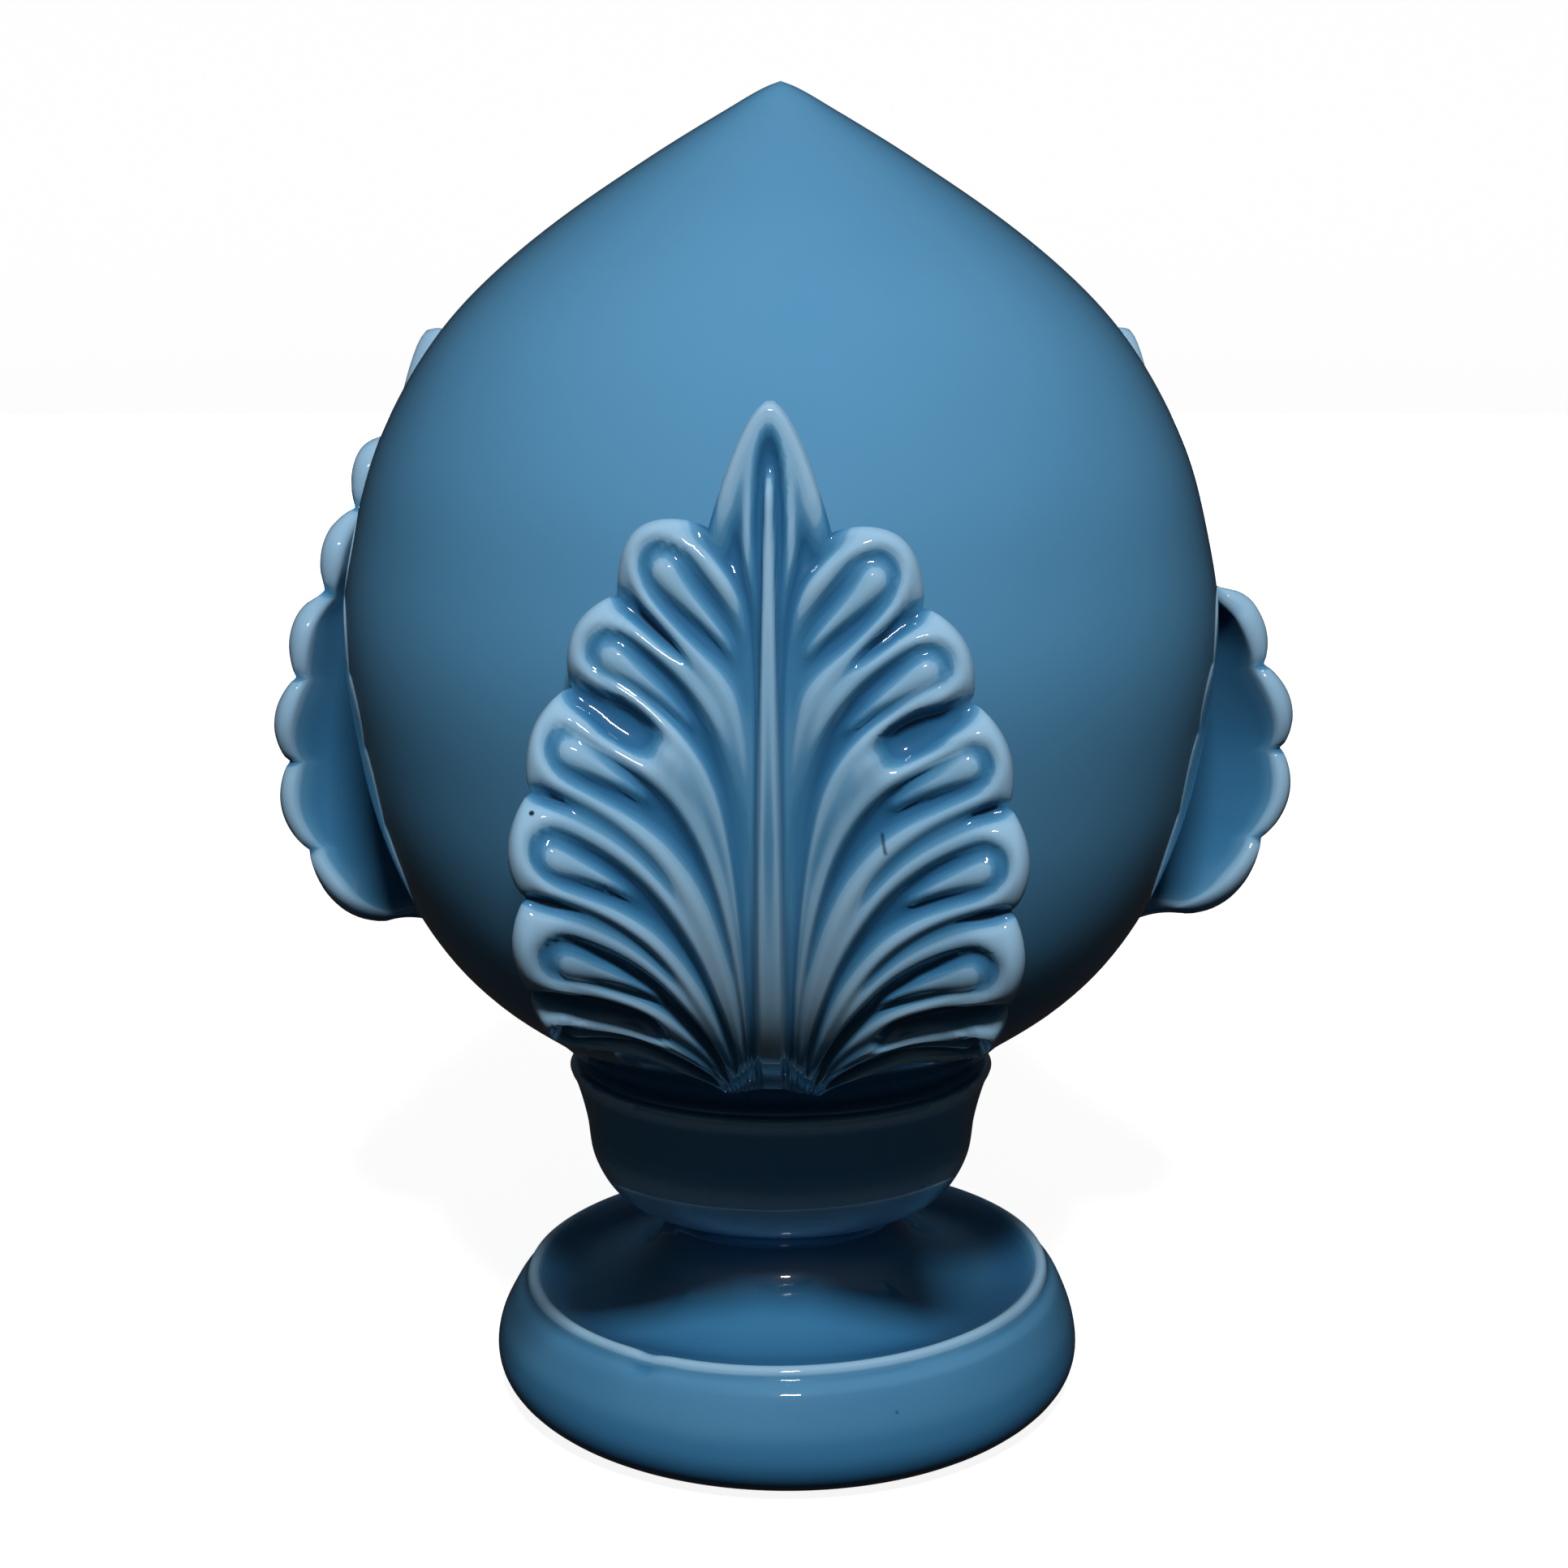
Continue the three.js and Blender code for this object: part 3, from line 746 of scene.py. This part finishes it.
def glaze_material():
    """Glossy coloured glaze, paler where it is thin and deeper where it pools or carries painted shade, with
    its marks.
    """
    material = bpy.data.materials.new("blue_glaze_surface")
    material.use_nodes = True
    tree = material.node_tree
    tree.nodes.clear()
    link = tree.links.new
    out = node(tree, "ShaderNodeOutputMaterial", (1200, 0))
    shader = node(tree, "ShaderNodeBsdfPrincipled", (900, 0))
    link(shader.outputs["BSDF"], out.inputs["Surface"])
    shader.inputs["Roughness"].default_value = 0.3
    shader.inputs["IOR"].default_value = 1.5
    shader.inputs["Specular IOR Level"].default_value = 0.06
    shader.inputs["Coat Weight"].default_value = 1.0
    shader.inputs["Coat Roughness"].default_value = 0.025
    shader.inputs["Coat IOR"].default_value = 1.5

    pool_and_shade = node(tree, "ShaderNodeAttribute", (-900, 200), attribute_name="glaze_pool_and_shade")
    coordinates = node(tree, "ShaderNodeTexCoord", (-900, -200))
    mottle = node(tree, "ShaderNodeTexNoise", (-700, -100))
    mottle.inputs["Scale"].default_value = 22.0
    mottle.inputs["Detail"].default_value = 4.0
    link(coordinates.outputs["Object"], mottle.inputs["Vector"])
    spread = node(tree, "ShaderNodeMath", (-500, -100), operation="MULTIPLY_ADD")
    link(mottle.outputs["Fac"], spread.inputs[0])
    spread.inputs[1].default_value = MOTTLE
    spread.inputs[2].default_value = -MOTTLE / 2
    level = node(tree, "ShaderNodeMath", (-300, 100), operation="ADD")
    link(pool_and_shade.outputs["Fac"], level.inputs[0])
    link(spread.outputs[0], level.inputs[1])
    shade = node(tree, "ShaderNodeMapRange", (-100, 100))
    shade.inputs["From Min"].default_value = THIN
    shade.inputs["From Max"].default_value = DEEP
    link(level.outputs[0], shade.inputs["Value"])
    ramp = node(tree, "ShaderNodeValToRGB", (100, 100))
    ramp.color_ramp.interpolation = "EASE"
    stops = ramp.color_ramp.elements
    for position, colour in GLAZE[1:-1]:
        stops.new(position)
    for stop, (position, colour) in zip(stops, GLAZE):
        stop.position = position
        stop.color = (*colour, 1)
    link(shade.outputs["Result"], ramp.inputs["Fac"])
    link(marked(tree, coordinates, ramp.outputs["Color"]), shader.inputs["Base Color"])

    wave = node(tree, "ShaderNodeTexNoise", (300, -400))
    wave.inputs["Scale"].default_value = 38.0
    wave.inputs["Detail"].default_value = 1.5
    link(coordinates.outputs["Object"], wave.inputs["Vector"])
    ripple = node(tree, "ShaderNodeBump", (600, -400))
    ripple.inputs["Strength"].default_value = 0.25
    ripple.inputs["Distance"].default_value = 0.0004
    link(wave.outputs["Fac"], ripple.inputs["Height"])
    link(ripple.outputs["Normal"], shader.inputs["Coat Normal"])
    link(ripple.outputs["Normal"], shader.inputs["Normal"])
    return material


pumo.data.materials.clear()
pumo.data.materials.append(glaze_material())
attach(pumo, "root")
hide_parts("pumo")


def plain(name, colour, roughness):
    """Plain matt material."""
    material = bpy.data.materials.new(name)
    material.use_nodes = True
    shader = material.node_tree.nodes["Principled BSDF"]
    shader.inputs["Base Color"].default_value = (*colour, 1)
    shader.inputs["Roughness"].default_value = roughness
    return material


def bowl(radius, fillet, height, segments):
    """Round studio floor whose edge sweeps up into a wall on all sides."""
    rows = [(radius * k / 6, 0.0) for k in range(1, 6)]
    steps = 12
    for k in range(steps + 1):
        turn = math.pi / 2 * k / steps
        rows.append((radius + fillet * math.sin(turn), fillet * (1 - math.cos(turn))))
    rows.append((radius + fillet, height))
    vertices = [(0, 0, 0)]
    for r, z in rows:
        for s in range(segments):
            turn = 2 * math.pi * s / segments
            vertices.append((r * math.cos(turn), r * math.sin(turn), z))
    faces = [(0, 1 + s, 1 + (s + 1) % segments) for s in range(segments)]
    for k in range(len(rows) - 1):
        low = 1 + k * segments
        for s in range(segments):
            t = (s + 1) % segments
            faces.append((low + s, low + segments + s, low + segments + t, low + t))
    return vertices, faces


FLOOR_RADIUS = 1.7
FLOOR_FILLET = 0.9
WALL_HEIGHT = 3.2

floor_mesh = bpy.data.meshes.new("floor")
floor_vertices, floor_faces = bowl(FLOOR_RADIUS, FLOOR_FILLET, WALL_HEIGHT, 96)
floor_mesh.from_pydata(floor_vertices, [], floor_faces)
floor_mesh.polygons.foreach_set("use_smooth", [True] * len(floor_faces))
floor = bpy.data.objects.new("floor", floor_mesh)
bpy.context.scene.collection.objects.link(floor)
floor_material = plain("floor_pale", (0.4, 0.4, 0.4), 0.8)
floor_shader = floor_material.node_tree.nodes["Principled BSDF"]
floor_shader.inputs["Emission Color"].default_value = (1, 1, 1, 1)
floor_shader.inputs["Emission Strength"].default_value = 0.9
floor_mesh.materials.append(floor_material)
floor.visible_glossy = False
floor.visible_diffuse = False
floor.visible_shadow = False

CAMERA_PLACE = (-0.0006, -0.5067, 0.2548)
CAMERA_DOWN = 14.82
LENS = 63.44

camera_data = bpy.data.cameras.new("camera")
camera = bpy.data.objects.new("camera", camera_data)
bpy.context.scene.collection.objects.link(camera)
bpy.context.scene.camera = camera
camera_data.sensor_width = 36.0
camera_data.lens = LENS
camera_data.clip_start = 0.01
camera.location = CAMERA_PLACE
camera.rotation_euler = (math.radians(90 - CAMERA_DOWN), 0, 0)


def area(name, location, target, width, height, power):
    """White rectangular lamp, aimed at a target."""
    data = bpy.data.lights.new(name, "AREA")
    data.shape = "RECTANGLE"
    data.size = width
    data.size_y = height
    data.energy = power
    lamp = bpy.data.objects.new(name, data)
    bpy.context.scene.collection.objects.link(lamp)
    lamp.location = location
    direction = Vector(target) - Vector(location)
    lamp.rotation_euler = direction.to_track_quat("-Z", "Y").to_euler()
    return lamp


KEY_RISE = math.radians(51.5)
KEY_AWAY = 1.3
KEY_SIDE = 0.045
AIM_Z = 0.12

key_place = (KEY_SIDE, -KEY_AWAY * math.cos(KEY_RISE), AIM_Z + KEY_AWAY * math.sin(KEY_RISE))
key = area("key", key_place, (0, 0, AIM_Z), 0.24, 0.14, 19.3)
back = area("back_fill", (0.0, 1.5, 0.22), (0, 0, AIM_Z), 0.8, 0.4, 9.0)
for lamp in (key, back):
    lamp.visible_glossy = False
    lamp.visible_camera = False
glint = area("glint", (0.0, -1.15, 0.9), (0, 0, 0.1), 0.17, 0.06, 5.0)
glint.visible_diffuse = False
glint.visible_camera = False

SKY_BRIGHT_TOWARDS = (0.0, -0.42, 0.907)
SKY_DARK = 0.012
SKY_BRIGHT = 0.165

world = bpy.data.worlds.new("studio")
bpy.context.scene.world = world
world.use_nodes = True
sky = world.node_tree
sky.nodes.clear()
sky_out = node(sky, "ShaderNodeOutputWorld", (600, 0))
background = node(sky, "ShaderNodeBackground", (400, 0))
sky.links.new(background.outputs[0], sky_out.inputs["Surface"])
where = node(sky, "ShaderNodeTexCoord", (-600, 0))
lean = node(sky, "ShaderNodeVectorMath", (-400, 0), operation="DOT_PRODUCT")
sky.links.new(where.outputs["Generated"], lean.inputs[0])
lean.inputs[1].default_value = SKY_BRIGHT_TOWARDS
fade = node(sky, "ShaderNodeMapRange", (-200, 0), interpolation_type="SMOOTHSTEP")
fade.inputs["From Min"].default_value = 0.1
fade.inputs["From Max"].default_value = 1.0
fade.inputs["To Min"].default_value = SKY_DARK
fade.inputs["To Max"].default_value = SKY_BRIGHT
sky.links.new(lean.outputs["Value"], fade.inputs["Value"])
sky.links.new(fade.outputs["Result"], background.inputs["Strength"])
background.inputs["Color"].default_value = (1, 1, 1, 1)

bpy.context.scene.view_settings.view_transform = "Standard"
